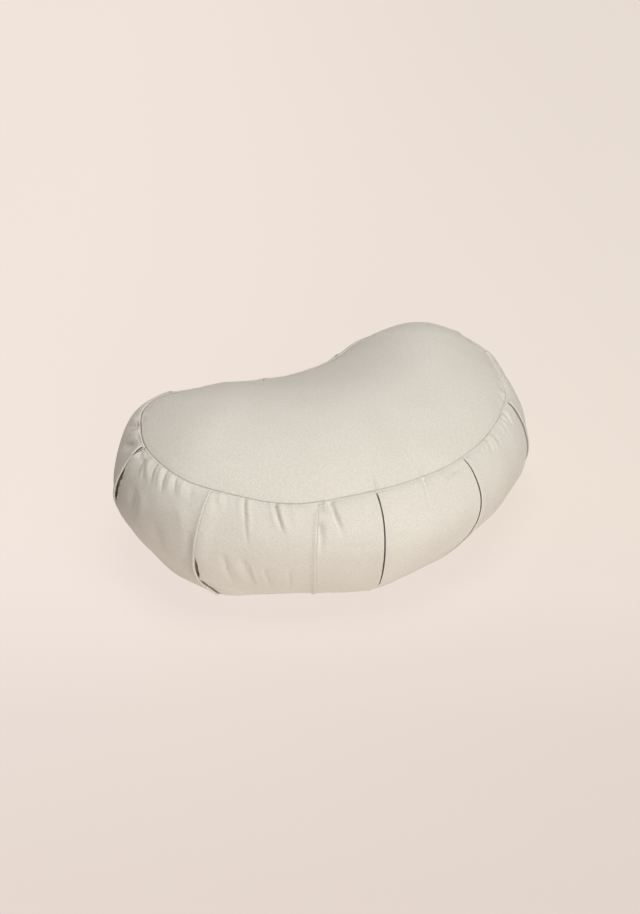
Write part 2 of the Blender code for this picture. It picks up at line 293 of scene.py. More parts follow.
def top_surface(along, ring, inset):
    """The top panel's outer face without its turned edge: ring is 0 on the spine, 1 at the edge."""
    place, outward, spine = plan(along)
    edge = place + outward * (seam_reach(along) - inset)[..., None]
    flat = spine + (edge - spine) * ring[..., None]
    low = seam_height(place, along)
    z = low + (ridge_height(spine) - low) * (1 - np.minimum(ring, 1.0) ** 2) ** CROWN_POWER
    return np.stack((flat[..., 0], flat[..., 1], z), -1)


# ---------------------------------------------------------------- creases and gathers
# A crease runs between two places. On the band they are (along, height); on the top they are
# plan x and y. width is its half width and rise its height (mm), outwards; below 0 it is a valley.
Crease = namedtuple("Crease", "start_a start_b end_a end_b width rise")


def creases(*rows):
    return [Crease(*row) for row in rows]


BAND_CREASES = creases(
    # behind the first visible pleat, at the left end
    (-0.3270, 1.01, -0.3400, 0.90, 2.6, 1.6),
    (-0.3380, 1.01, -0.3460, 0.90, 3.6, -3.2),
    (-0.3495, 1.00, -0.3570, 0.91, 2.8, 1.2),
    (-0.3170, 0.97, -0.3340, 0.84, 6.5, -2.8),
    # the hollow under the seam beside that pleat, and the gathers after it
    (-0.3010, 0.990, -0.2910, 0.960, 2.8, -2.0),
    (-0.2885, 0.98, -0.2780, 0.87, 2.6, -1.0),
    (-0.2825, 0.985, -0.2700, 0.88, 3.2, 1.3),
    (-0.2735, 0.995, -0.2660, 0.88, 2.2, -1.2),
    (-0.2655, 0.995, -0.2590, 0.88, 2.4, 1.0),
    (-0.2595, 1.00, -0.2530, 0.87, 2.2, -1.6),
    (-0.2530, 1.00, -0.2485, 0.88, 2.4, 1.0),
    (-0.2470, 1.00, -0.2410, 0.91, 2.2, -1.1),
    (-0.2400, 0.995, -0.2360, 0.90, 2.6, 0.8),
    (-0.2310, 0.99, -0.2270, 0.88, 3.2, -0.6),
    (-0.2720, 0.78, -0.2700, 0.58, 6.0, 1.1),
    (-0.2840, 0.78, -0.2840, 0.54, 5.5, -1.0),
    (-0.2335, 0.82, -0.2290, 0.62, 7.0, 1.0),
    (-0.2262, 0.70, -0.2275, 0.42, 3.6, -1.1),
    (-0.2560, 0.62, -0.2500, 0.34, 7.0, -0.7),
    # the wide front section
    (-0.2030, 1.00, -0.1975, 0.89, 2.2, 1.2),
    (-0.2075, 1.00, -0.2030, 0.86, 3.0, -0.7),
    (-0.1965, 1.00, -0.1930, 0.90, 2.6, -0.5),
    (-0.1800, 1.00, -0.1760, 0.85, 1.8, -1.8),
    (-0.1770, 0.92, -0.1740, 0.62, 1.7, -0.9),
    (-0.1755, 1.00, -0.1715, 0.74, 2.8, 0.9),
    (-0.1850, 1.00, -0.1815, 0.86, 2.6, 0.7),
    (-0.1515, 1.00, -0.1420, 0.79, 2.1, -2.0),
    (-0.1470, 0.99, -0.1385, 0.76, 2.8, 1.4),
    (-0.1565, 1.00, -0.1490, 0.82, 2.8, 0.9),
    (-0.1370, 1.00, -0.1330, 0.86, 3.0, 0.5),
    (-0.1270, 1.00, -0.1260, 0.80, 4.0, -0.5),
    (-0.1950, 0.56, -0.1870, 0.12, 4.4, -1.2),
    (-0.1860, 0.50, -0.1790, 0.12, 4.4, 0.8),
    (-0.1790, 0.54, -0.1690, 0.10, 3.6, -1.0),
    (-0.1610, 0.46, -0.1530, 0.10, 3.6, -1.0),
    (-0.1390, 0.46, -0.1390, 0.10, 4.2, -0.9),
    (-0.2060, 0.17, -0.1700, 0.06, 3.0, -1.2),
    # the narrow section
    (-0.1075, 0.97, -0.1000, 0.76, 4.0, 0.8),
    (-0.1012, 1.00, -0.0927, 0.76, 2.8, -2.8),
    (-0.1125, 0.86, -0.1125, 0.62, 4.6, -1.6),
    (-0.1140, 0.985, -0.1010, 0.950, 4.2, -3.6),
    (-0.1135, 0.17, -0.0950, 0.118, 1.5, -1.6),
    (-0.0925, 0.693, -0.0615, 0.645, 1.7, -0.5),
    (-0.0700, 1.00, -0.0740, 0.84, 3.4, 0.5),
    (-0.0640, 0.94, -0.0900, 0.78, 4.0, -0.6),
    # the long section
    (-0.0050, 1.01, -0.0150, 0.80, 2.2, -3.2),
    (-0.0010, 1.00, -0.0080, 0.86, 2.4, 0.6),
    (0.0300, 0.975, 0.0120, 0.950, 2.8, -1.0),
    (0.0150, 1.00, 0.0080, 0.86, 3.6, 0.5),
    (-0.0480, 1.00, -0.0470, 0.82, 3.0, 0.5),
    # the right end
    (0.0925, 1.00, 0.0850, 0.92, 2.2, -1.5),
    (0.0990, 1.00, 0.0930, 0.90, 2.4, 1.1),
    (0.0870, 1.00, 0.0765, 0.94, 2.3, 1.0),
    (0.1060, 1.00, 0.0990, 0.88, 3.0, -0.6),
    (0.1450, 0.99, 0.1380, 0.91, 2.3, -1.2),
    (0.1390, 1.00, 0.1340, 0.94, 2.2, 1.1),
    (0.1500, 1.00, 0.1440, 0.90, 2.6, 0.8),
    (0.1240, 1.00, 0.1160, 0.88, 3.0, 0.5),
)
# A tuck is a crease with a ridge on one side, the left for a rise above 0, and a sharp drop on
# the other. A step drops sharply too, on its right, and comes back slowly within its width.
BAND_STEPS = creases(
    (-0.1050, 1.00, -0.0955, 0.74, 6.5, 4.8),
    (-0.1155, 0.88, -0.1155, 0.56, 6.5, 3.0),
    (-0.3330, 1.00, -0.3420, 0.91, 5.0, 1.6),
    (-0.3200, 0.97, -0.3330, 0.88, 7.0, 1.1),
)
BAND_TUCKS = creases(
    (-0.3400, 1.00, -0.3480, 0.90, 4.5, -1.2),
    (-0.2735, 1.00, -0.2660, 0.87, 3.6, -0.75),
    (-0.2595, 1.00, -0.2530, 0.85, 3.6, -0.85),
    (-0.2470, 1.00, -0.2405, 0.90, 3.4, -0.65),
    (-0.2890, 0.98, -0.2810, 0.84, 4.0, -0.9),
    (-0.2262, 0.72, -0.2275, 0.40, 4.0, 0.9),
    (-0.1800, 1.00, -0.1740, 0.70, 3.4, -1.3),
    (-0.1515, 1.00, -0.1432, 0.80, 3.6, -1.9),
    (-0.1935, 0.52, -0.1885, 0.14, 4.0, -0.55),
    (-0.1730, 0.50, -0.1700, 0.10, 4.0, -0.55),
    (-0.1605, 0.44, -0.1535, 0.10, 4.0, -0.6),
    (-0.1390, 0.44, -0.1390, 0.10, 4.0, -0.55),
    (-0.1135, 0.17, -0.0950, 0.118, 3.0, -1.6),
    (-0.0045, 1.00, -0.0135, 0.84, 2.0, -1.0),
    (0.0300, 0.975, 0.0115, 0.945, 4.0, -1.0),
    (0.0925, 1.00, 0.0850, 0.91, 3.2, -1.3),
    (0.0780, 1.00, 0.0720, 0.93, 3.2, -0.8),
    (0.1450, 0.99, 0.1375, 0.90, 3.2, -1.2),
    (0.1300, 1.00, 0.1240, 0.92, 3.2, -0.8),
)
CREASE_SPREAD = 0.55  # of its half width, as its Gaussian's spread
CREASE_KEEPS, TUCK_KEEPS, STEP_KEEPS = 0.15, 0.30, 0.25  # see fading
TUCK_DROP, TUCK_WIDTH = 0.6, 0.4  # of the ridge's rise and width, on the side that drops
TUCK_LEAD = 0.08  # of its length: how far ahead of its start a tuck comes up
STEP_RIDGE, STEP_RIM = 0.12, 2.2  # of the step's rise, and half width (mm), of its left rim
STEP_FALL_LEFT, STEP_FALL = 0.9, 2.2  # mm: how far left of its line the drop starts, and its width
STEP_BACK = 0.8  # power of its way back
STEP_START, STEP_LEVEL = 0.15, 0.6  # its ramp up, of its length, and how far on it begins
TOP_CREASES = creases(
    (-0.0545, -0.1180, -0.0515, -0.0925, 2.3, -2.6),
    (-0.0515, -0.1160, -0.0490, -0.0980, 3.0, 1.0),
    (-0.0042, -0.1270, -0.0030, -0.1030, 2.3, -2.6),
    (-0.0010, -0.1250, 0.0000, -0.1060, 3.0, 0.9),
    (0.1830, 0.0400, 0.1600, 0.0330, 4.0, 1.5),
    (0.1900, 0.0080, 0.1650, 0.0080, 4.0, 1.5),
    (0.1750, 0.0760, 0.1560, 0.0600, 4.5, 1.6),
    (0.1850, -0.0340, 0.1600, -0.0290, 3.6, 1.2),
    (0.1880, -0.0210, 0.1640, -0.0180, 3.0, -1.2),
)
TOP_GATHERS = (  # along (m); half width, rise and length inwards (mm)
    (0.160, 2.5, 1.1, 9.0), (0.168, 2.2, -1.5, 11.0), (0.1765, 3.0, 1.9, 9.0),
    (0.1855, 2.4, -1.9, 10.0), (0.195, 2.8, 1.7, 12.0), (0.203, 2.3, -1.7, 10.0),
    (0.213, 3.0, 1.6, 13.0), (0.223, 2.6, -1.5, 11.0), (0.235, 3.2, 1.3, 12.0),
    (0.262, 4.0, -1.1, 10.0), (0.280, 4.5, 1.0, 11.0), (-0.345, 2.5, -0.8, 7.0),
    (-0.354, 2.5, 0.9, 8.0), (-0.365, 3.0, -0.8, 8.0),
)  # fmt: skip
Gather = namedtuple("Gather", "start end pitch rise length")
GATHERS = (  # along (m), pitch (m), rise (mm), length as a share of the band's height
    Gather(-0.300, 0.160, 0.0085, 0.22, 0.10),
    Gather(0.160, 0.700, 0.0110, 0.55, 0.15),
)
# Drawn for each gather: the step to it and its half width (of the pitch), shares of its rise and
# its length, and its slant (m along for the band's whole height).
GATHER_DRAWS = ((0.55, 1.5), (0.16, 0.34), (-1.0, 1.0), (0.5, 1.5), (-0.05, 0.05))
GATHER_SEED = 7
TOP_REACH = 0.09  # m, about, from the top panel's spine to its edge
TOP_START, TOP_LEVEL = 1.5 * MM, 0.3  # its gathers' ramp up, and how far on it begins
BAND_LUMPS, TOP_LUMPS = 1.7, 0.6
SMOOTH_LUMPS = ((0.055, 0.55), (0.022, 0.22), (0.009, 0.07))  # size (m), rise (mm)


def beside(a, b, fold, scale_b, wrap=True):
    """A fold's length, and how far along it and to its right the places (a, b) lie, in metres."""
    da = apart(a, fold.start_a) if wrap else a - fold.start_a
    db = (b - fold.start_b) * scale_b
    run_a = fold.end_a - fold.start_a
    run_b = (fold.end_b - fold.start_b) * scale_b
    length = math.hypot(run_a, run_b)
    return length, (da * run_a + db * run_b) / length, (db * run_a - da * run_b) / length


def fading(share, kept):
    """1 on the first kept / (1 + kept) of a fold, then down to 0 at its end."""
    return 1 - smooth(share * (1 + kept) - kept)


def crease_field(a, b, creases, scale_b, wrap):
    """Rise, in metres, of a table of creases at places (a, b)."""
    total = np.zeros(a.shape)
    for crease in creases:
        length, forward, aside = beside(a, b, crease, scale_b, wrap)
        share = np.clip(forward / length, 0.0, 1.0)
        beyond = forward - share * length
        spread = crease.width * MM * CREASE_SPREAD
        near = np.exp(-(aside**2 + beyond**2) / (2 * spread**2))
        total += crease.rise * MM * fading(share, CREASE_KEEPS) * near
    return total


def tuck_field(along, height, scale):
    """Rise, in metres, of the tucks in the band."""
    total = np.zeros(along.shape)
    for tuck in BAND_TUCKS:
        length, forward, aside = beside(along, height, tuck, scale)
        aside = aside * math.copysign(1.0, tuck.rise)
        share = forward / length
        width = tuck.width * MM
        ridge = np.exp(-((aside / width) ** 2))
        drop = -TUCK_DROP * np.exp(-np.abs(aside) / (TUCK_WIDTH * width))
        ends = smooth(share / TUCK_LEAD + 1.0) * fading(share, TUCK_KEEPS)
        total += abs(tuck.rise) * MM * np.where(aside < 0, ridge, drop) * ends
    return total


def step_field(along, height, scale):
    """Rise, in metres, of the steps in the band."""
    total = np.zeros(along.shape)
    for step in BAND_STEPS:
        length, forward, aside = beside(along, height, step, scale)
        share = forward / length
        rim = STEP_RIDGE * np.exp(-((aside / (STEP_RIM * MM)) ** 2)) * (aside < 0)
        fall = smooth((aside / MM + STEP_FALL_LEFT) / STEP_FALL)
        back = smooth(1 - aside / (step.width * MM)) ** STEP_BACK * fall
        ends = smooth(share / STEP_START + STEP_LEVEL) * fading(share, STEP_KEEPS)
        total += step.rise * MM * (rim - back) * ends
    return total


def gather_field(along, height, seam):
    """Rise, in metres, of the small gathers that run out from a seam of the band."""
    total = np.zeros(along.shape)
    draw = np.random.default_rng(GATHER_SEED + seam)
    for gather in GATHERS:
        place = gather.start
        while place < gather.end:
            step, width, rise, length, slant = (draw.uniform(*ends) for ends in GATHER_DRAWS)
            place += gather.pitch * step
            width *= gather.pitch
            rise *= gather.rise * MM
            length *= gather.length
            away = np.abs(height - seam)
            aside = apart(along, place + slant * away)
            close = np.abs(aside) < 4 * width
            bump = np.exp(-(aside[close] ** 2) / (2 * width**2))
            total[close] += rise * bump * (1 - smooth(away[close] / length))
    return total


def edge_gathers(along, ring):
    """Rise, in metres, of the small gathers of the top panel beside its seam at the right end."""
    away = (1 - ring) * TOP_REACH
    start = smooth(away / TOP_START + TOP_LEVEL)
    total = np.zeros(along.shape)
    for place, width, rise, length in TOP_GATHERS:
        near = np.exp(-((apart(along, place) / (width * MM)) ** 2))
        total += rise * MM * near * (1 - smooth(away / (length * MM))) * start
    return total


def lumps(points):
    """Slow unevenness of the filling under the cloth, in metres."""
    total = np.zeros(len(points))
    for size, rise in SMOOTH_LUMPS:
        scaled = (points / size).tolist()
        total += rise * MM * np.array([noise.noise(Vector(point)) for point in scaled])
    return total


# ---------------------------------------------------------------- the pleated band
# How far a pleat's edge lies from its place at the top seam, at each of these heights (mm).
PATH_HEIGHTS = (1.0, 0.8, 0.6, 0.4, 0.2, 0.0)
PATHS = (
    (0, -1, -2, -2, -1, 0),
    (0, -2, -4, -5, -4, -2),
    (4, 2.0, -3.4, -10, -12, -10),
    (2.5, -1.7, -4.8, -6.4, -8.4, -7.5),
    (3, 0.1, -1.1, -1.0, 0.6, 2.3),
    (1.6, 0.2, -1.6, -1.4, 1.2, 3.8),
    (-2.2, -5.4, -10.4, -21.5, -31, -34.5),
    (7.5, 3.7, 2.6, 1, 0, 0),
    (0, 1, 2, 1, 0, -1),
    (0, -1, -2, -3, -2, 0),
    (0, 1, 2, 3, 2, 1),
)
# A pleat's cross-section. The fold comes from the left over the next section: LEFT is the way
# to its rolled edge, BEND the roll, UNDER and FLOOR the two sides of the pocket behind it.
LEFT = np.array((-14, -10.5, -7.2, -4.6, -3.2, -2.3)) * MM
LEFT_SHARE = np.array((0, 0.16, 0.42, 0.72, 0.84, 0.92))
LEFT_WELT = np.array((0, 0, 0, 0.08, 0.4, 0.84))
BEND = np.array((0, 0.3, 0.55, 0.78, 0.93, 1))
TUCK = np.array((0.93, 0.7, 0.3))
UNDER = np.array((-3.4, -5.6, -7.6, -POCKET)) * MM
FLOOR = np.array((-7.6, -5.2, -2.6, -0.8)) * MM
CAVE = np.array((1.2, 2.1, 1.8, 0.5)) * MM  # the pocket's far side, under the next section
CAVE_ROOF = 1.6  # of the next section's turn radius, where that side comes up to its edge
TURN = np.array((0, 0.02, 0.1, 0.35, 0.8, 1.6))
TURN_DROP = np.array((1.6, 1, 0.56, 0.24, 0.02, 0))
RIGHT = np.array((1.2, 2.4, 3.8, 5.2, 6.8, 8.8, 11, 14.5)) * MM
RIGHT_SHARE = np.array((1, 0.99, 0.97, 0.9, 0.74, 0.5, 0.24, 0))
POCKET_DEPTH = 9.0 * MM
SEWN_STEP = 0.11 * MM  # between the hidden points where the pleat is sewn flat
CLOSED_SLIT = 0.04 * MM
PLATEAU = 1.5  # above 1, a slit keeps its full width over part of its length
RESTING = 0.28  # of the roll: how far below a closed fold's edge the next section lies
END_SHARE = 0.8  # how much an end's opening yields to an open slit, and how far it sinks the cloth


def fold_section(pleat, height):
    """Places along the band and rises (m) of a pleat's cross-section at each height."""
    ends = np.minimum(height, 1 - height)
    folded = smooth(ends / FOLDED_WITHIN)[None, :]
    opened = smooth(PLATEAU * (1 - np.abs(height - pleat.most) / pleat.reach))[None, :] * folded
    roll = pleat.roll * MM
    edge = (SEWN_EDGE + (pleat.edge - SEWN_EDGE) * (0.5 * folded + 0.5 * opened)) * MM
    resting = edge - RESTING * roll
    after = resting + (pleat.after * MM - resting) * opened
    after = SEWN_AFTER * MM + (after - SEWN_AFTER * MM) * folded
    slit = CLOSED_SLIT + (pleat.slit * MM - CLOSED_SLIT) * opened
    upper = smooth((height - TOP_OPENS) / (TOP_OPEN - TOP_OPENS)) * pleat.top * MM
    lower = smooth(FOOT_RAMP * (FOOT_REACH - height) / FOOT_OPENS) * pleat.foot * MM
    ends_open = (upper + lower)[None, :] * folded * (1 - END_SHARE * opened)
    slit = slit + ends_open
    after = after - END_SHARE * ends_open
    floor = edge - POCKET_DEPTH

    def column(values):
        return np.reshape(values, (-1, 1))

    level = np.ones_like(height)[None, :]
    left_s = np.concatenate((column(LEFT), column(roll * (BEND - 1)))) * level
    drop = roll * (1 - np.sqrt(1 - BEND**2))
    welt = pleat.welt * MM * (0.5 + 0.5 * folded)
    rim_h = column(LEFT_SHARE) * (edge - welt) + column(LEFT_WELT) * welt
    left_h = np.concatenate((rim_h, edge - column(drop) * (0.4 + 0.6 * folded)))

    tuck_h = edge - column(roll * (1 + np.sqrt(1 - TUCK**2)))
    back_h = np.repeat(edge - 2 * roll, len(UNDER) - 1, 0)
    end_h = (edge - 2 * roll + floor) / 2
    floor_h = np.repeat(floor, len(FLOOR), 0)
    turn = pleat.turn * MM
    roof = after - CAVE_ROOF * turn
    cave_h = np.concatenate((floor, floor + 1.5 * MM, roof - 1.6 * MM, roof - 0.6 * MM))
    open_h = np.concatenate((tuck_h, back_h, end_h, floor_h, cave_h))
    fixed_s = np.concatenate((roll * (TUCK - 1), UNDER, FLOOR))
    open_s = np.concatenate((column(fixed_s) * level, column(CAVE) + slit))
    count = len(open_s)
    flat_s = column(SEWN_STEP * np.arange(1, count + 1))
    hidden_s = flat_s + (open_s - flat_s) * folded
    flat_h = left_h[-1:] + (after - left_h[-1:]) * column(np.arange(1, count + 1) / (count + 1))
    hidden_h = flat_h + (open_h - flat_h) * folded

    start = SEWN_STEP * (count + 1)
    wall_s = start + column(TURN * turn + 0.02 * MM * np.arange(len(TURN)))
    right_s = start + column(RIGHT)
    right_s = np.concatenate((wall_s, right_s)) + (slit - start) * folded
    wall_h = after - column(TURN_DROP * turn) * folded
    right_h = np.concatenate((wall_h, after * column(RIGHT_SHARE)))
    s = np.concatenate((left_s, hidden_s, right_s))
    return s, np.concatenate((left_h, hidden_h, right_h))


def pleat_path(index, height):
    curve = np.polynomial.Polynomial.fit(PATH_HEIGHTS, PATHS[index], 4)
    hook = PLEATS[index].hook * smooth((FOOT_OPENS - height) / FOOT_OPENS)
    return PLEATS[index].along + (curve(height) + hook) * MM


# Between the columns of each section of the band, and between its rows (mm).
COLUMN_STEPS = (2.9, 1.5, 1.1, 1.1, 1.05, 1.45, 1.25, 2.2, 2.9, 2.9, 2.9)
ROW_STEP, FINE_ROW_STEP, FINE_ROWS = 1.8, 1.35, 34.0  # finer for the last 34 mm to the top seam
CLOSE_ROWS = (0.5, 1.1)  # more rows this far from each seam
HEIGHT_SAMPLES = 4001


def band_grid(height):
    """(along, rise) of every column of the band at each height, from the first pleat onwards."""
    alongs, rises = [], []
    for index, pleat in enumerate(PLEATS):
        following = (index + 1) % len(PLEATS)
        turn = PERIMETER if following == 0 else 0.0
        s, h = fold_section(pleat, height)
        here = pleat_path(index, height)[None, :] + s
        start = here[-1]
        end = pleat_path(following, height) + turn + LEFT[0]
        steps = round(float(np.mean(end - start)) / (COLUMN_STEPS[index] * MM))
        share = np.arange(1, steps)[:, None] / steps
        alongs += [here, start + (end - start) * share]
        rises += [h, np.zeros((steps - 1, len(height)))]
    return np.concatenate(alongs), np.concatenate(rises)


def band_heights():
    """Heights of the band's rows, evenly spaced on its surface and closer beside the seams."""
    fine = np.linspace(0, 1, HEIGHT_SAMPLES)
    points = band_surface(np.zeros_like(fine), fine)
    run = np.concatenate(([0], np.cumsum(np.linalg.norm(np.diff(points, axis=0), axis=1))))
    turn = run[-1] - FINE_ROWS * MM
    low = np.linspace(0, turn, round(turn / (ROW_STEP * MM)) + 1)
    high = np.linspace(turn, run[-1], round(FINE_ROWS / FINE_ROW_STEP) + 1)
    even = np.interp(np.concatenate((low, high[1:])), run, fine)
    close = np.interp(np.array(CLOSE_ROWS) * MM, run, fine)
    return np.sort(np.concatenate((even, close, 1 - close)))


def grid_faces(columns, rows):
    """Quads of a grid that closes round its columns; point (c, r) is r * columns + c."""
    c = np.arange(columns)
    after = (c + 1) % columns
    base = np.arange(rows - 1)[:, None] * columns
    quads = np.stack((base + c, base + after, base + columns + after, base + columns + c), -1)
    return quads.reshape(-1, 4)


# The seams' cross-sections: how far in from the band's edge, and how far up (mm).
TOP_LIP = (
    (0.8, 0.5), (1.6, 0.8), (2.3, 0.85), (2.75, 0.66), (2.94, 0.3), (2.99, -0.5), (3.0, -3.1),
    (4.2, -3.7),
)  # fmt: skip
LIP_PROUD = (Wander(-0.305, 0.095, 1.0), Wander(0.250, 0.170, -0.9))  # higher or lower by places
LIP_END = 3.0  # mm, where a lip has lost what the pleats add
BOTTOM_LIP = ((0.9, -0.4), (1.8, -0.6), (2.5, -0.3), (2.8, 0.5), (3.0, 1.5), (4.2, 2.2))
PANEL_INSET = 2.95 * MM
PANEL_INSETS = (Wander(-0.235, 0.260, 1.35 * MM),)  # the seam lies open at the front
PANEL_EDGE_AT = np.array((0, 0.02, 0.07, 0.22, 0.5, 1.0, 1.8, 2.7, 4.0)) * MM
PANEL_EDGE_DROP = np.array((2.4, 0.9, 0.3, 0.05, -0.08, -0.08, 0.0, 0.02, 0.0)) * MM
PANEL_STEP = 1.65 * MM  # between a cover's rings
EDGE_TURNS = (Wander(0.230, 0.290, -0.85),)  # its edge is turned down less at the right end
CLOTH = 1.1 * MM
UNDER_TOP, OVER_BOTTOM = 3.6 * MM, 2.4 * MM  # how far the filled body stays off the two covers
BAND_RUN = 0.145  # m, about, from seam to seam round the band's swell
CALM_SHARE = 0.05  # of the way from a seam, where the lumps of the filling come up
SEAM_CLOTH = 0.8 * MM  # cloth between the rows of a turned seam, for the weave
CLOSING_RINGS = (0.92, 0.75, 0.45)  # the filled body's rings under each cover
CLOSING_SPINE = 24
SPINE_STEPS = 400  # columns of a cover's front, and of its back
CAP_COLUMNS = 190  # columns of each round end
INNER_RINGS = (0.985, 0.95, 0.88, 0.75, 0.5, 0.25)  # the inside of a cover
INNER_EDGE, INNER_ROOM = 0.45 * MM, 2.0 * MM  # its edge, and its first ring, lie this far in
INNER_DEPTH = 0.6  # of the cloth's thickness, at its edge
ON_SPINE = 1e-6  # ring of a cover's middle


def panel_inset(along):
    return PANEL_INSET + wandering(along, PANEL_INSETS)


def bottom_surface(along, ring, inset):
    place, outward, spine = plan(along)
    edge = place - outward * inset[..., None]
    flat = spine + (edge - spine) * ring[..., None]
    rim = np.maximum(0.0, (ring - FLAT_SHARE) / (1 - FLAT_SHARE))
    return np.stack((flat[..., 0], flat[..., 1], BOTTOM_SEAM_Z * rim**RIM_POWER), -1)


def spine_points(count):
    """Points of the line down the middle of the plan, left to right."""
    turn = np.linspace(-1, 1, count + 1) * SPINE_ANGLE
    y = SPINE_RADIUS - SPINE_DIP - SPINE_RADIUS * np.cos(turn)
    return np.stack((SPINE_RADIUS * np.sin(turn), y), -1) - CENTRE


def nearest_spine(along, count):
    _, _, spine = plan(along)
    gaps = spine[:, None] - spine_points(count)[None]
    return np.argmin((gaps**2).sum(-1), axis=1)


def clean_faces(quads):
    """Quads as lists, without repeated neighbours and without faces that have no area."""
    faces = []
    for quad in quads.tolist():
        corners = [p for k, p in enumerate(quad) if p != quad[k - 1]]
        if len(set(corners)) > 2:
            faces.append(corners)
    return faces


def closing_faces(row_start, columns, spine_start, spine_index):
    """Faces from a ring of points to the spine's nearest points."""
    c = np.arange(columns)
    after = (c + 1) % columns
    inner = spine_start + spine_index
    return clean_faces(np.stack((row_start + c, row_start + after, inner[after], inner), -1))


def shaped_band():
    """Places along the band, its points without pleats or creases, and its points."""
    height = band_heights()
    along, rise = band_grid(height)
    level = np.repeat(height[None], len(along), 0)
    even = band_surface(along, level)
    shape = crease_field(along, level, BAND_CREASES, BAND_RUN, True)
    shape += gather_field(along, level, 1) + gather_field(along, level, 0)
    shape += tuck_field(along, level, BAND_RUN) + step_field(along, level, BAND_RUN)
    shape += bulges(along, level)
    calm = smooth(np.minimum(level, 1 - level) / CALM_SHARE)
    shape += BAND_LUMPS * lumps(even.reshape(-1, 3)).reshape(shape.shape) * calm
    return along, even, even + band_normal(along, level) * (rise + shape)[..., None]


def turned_seam(along, moved, top):
    """Rows of the band's turned edge at the top or the bottom seam, from the band inwards."""
    place, outward, _ = plan(along)
    if top:
        lip, z, out = TOP_LIP, seam_height(place, along), seam_reach(along)
        proud = 1 + wandering(along, LIP_PROUD)
    else:
        lip, z, out = BOTTOM_LIP, np.full(len(along), BOTTOM_SEAM_Z), -bottom_inset(along)
        proud = 1.0
    rows = []
    for inset, up in lip:
        flat = place + outward * (out - inset * MM)[:, None]
        rise = up * proud if up > 0 else up
        fade = max(0.0, 1 - inset / LIP_END)
        rows.append(np.column_stack((flat, z + rise * MM)) + moved * fade)
    return rows


def band_cloth(points, rows_below, rows_above):
    """Cloth coordinates of the band and its turned seams, and the cloth's length round it."""
    columns, rows = points.shape[:2]
    middle = points[:, rows // 2]
    run = np.linalg.norm(np.diff(middle, axis=0, append=middle[:1]), axis=1)
    u = np.concatenate(([0], np.cumsum(run)))
    up = np.linalg.norm(np.diff(points, axis=1), axis=2).mean(0)
    v = np.concatenate(([0], np.cumsum(up)))
    below = -SEAM_CLOTH * np.arange(rows_below, 0, -1)
    above = v[-1] + SEAM_CLOTH * np.arange(1, rows_above + 1)
    v = np.concatenate((below, v, above))
    return np.stack((np.tile(u[:-1], len(v)), np.repeat(v, columns)), -1), u[-1]


def body_mesh():
    """Points, faces and cloth coordinates of the pleated body with its turned seams."""
    along, even, points = shaped_band()
    foot, edge = along[:, 0], along[:, -1]
    moved = points - even
    bottom = turned_seam(foot, moved[:, 0], False)
    top = turned_seam(edge, moved[:, -1], True)
    columns = len(along)
    for ring in CLOSING_RINGS:
        full = np.full(columns, ring)
        under = top_surface(edge, full, np.full(columns, PANEL_INSET))
        top.append(under - (0, 0, UNDER_TOP))
        over = bottom_surface(foot, full, bottom_inset(foot) + PANEL_INSET)
        bottom.append(over + (0, 0, OVER_BOTTOM))
    grid = bottom[::-1] + list(points.swapaxes(0, 1)) + top
    spine = spine_points(CLOSING_SPINE)
    peak = np.column_stack((spine, ridge_height(spine) - UNDER_TOP))
    base = np.column_stack((spine, np.full(len(spine), OVER_BOTTOM)))

    start = columns * len(grid)
    faces = clean_faces(grid_faces(columns, len(grid)))
    faces += closing_faces(start - columns, columns, start, nearest_spine(edge, CLOSING_SPINE))
    nearest = nearest_spine(foot, CLOSING_SPINE)
    under = closing_faces(0, columns, start + len(spine), nearest)
    faces += [face[::-1] for face in under]
    cloth, round_cloth = band_cloth(points, len(bottom), len(top))
    cloth = np.concatenate((cloth, spine, spine))
    return np.concatenate(grid + [peak, base]), faces, cloth, round_cloth


def panel_columns():
    """Places round a panel, with those of the front and back on shared points of the spine."""
    counts = (SPINE_STEPS // 2, CAP_COLUMNS, SPINE_STEPS, CAP_COLUMNS, SPINE_STEPS // 2)
    starts = ARC_ENDS - ARC_LENGTHS
    parts = [a + n * np.arange(k) / k for a, n, k in zip(starts, ARC_LENGTHS, counts)]
    half = SPINE_STEPS // 2
    index = [half + np.arange(half), np.full(CAP_COLUMNS, SPINE_STEPS)]
    index += [SPINE_STEPS - np.arange(SPINE_STEPS), np.zeros(CAP_COLUMNS, int), np.arange(half)]
    return np.concatenate(parts), np.concatenate(index)


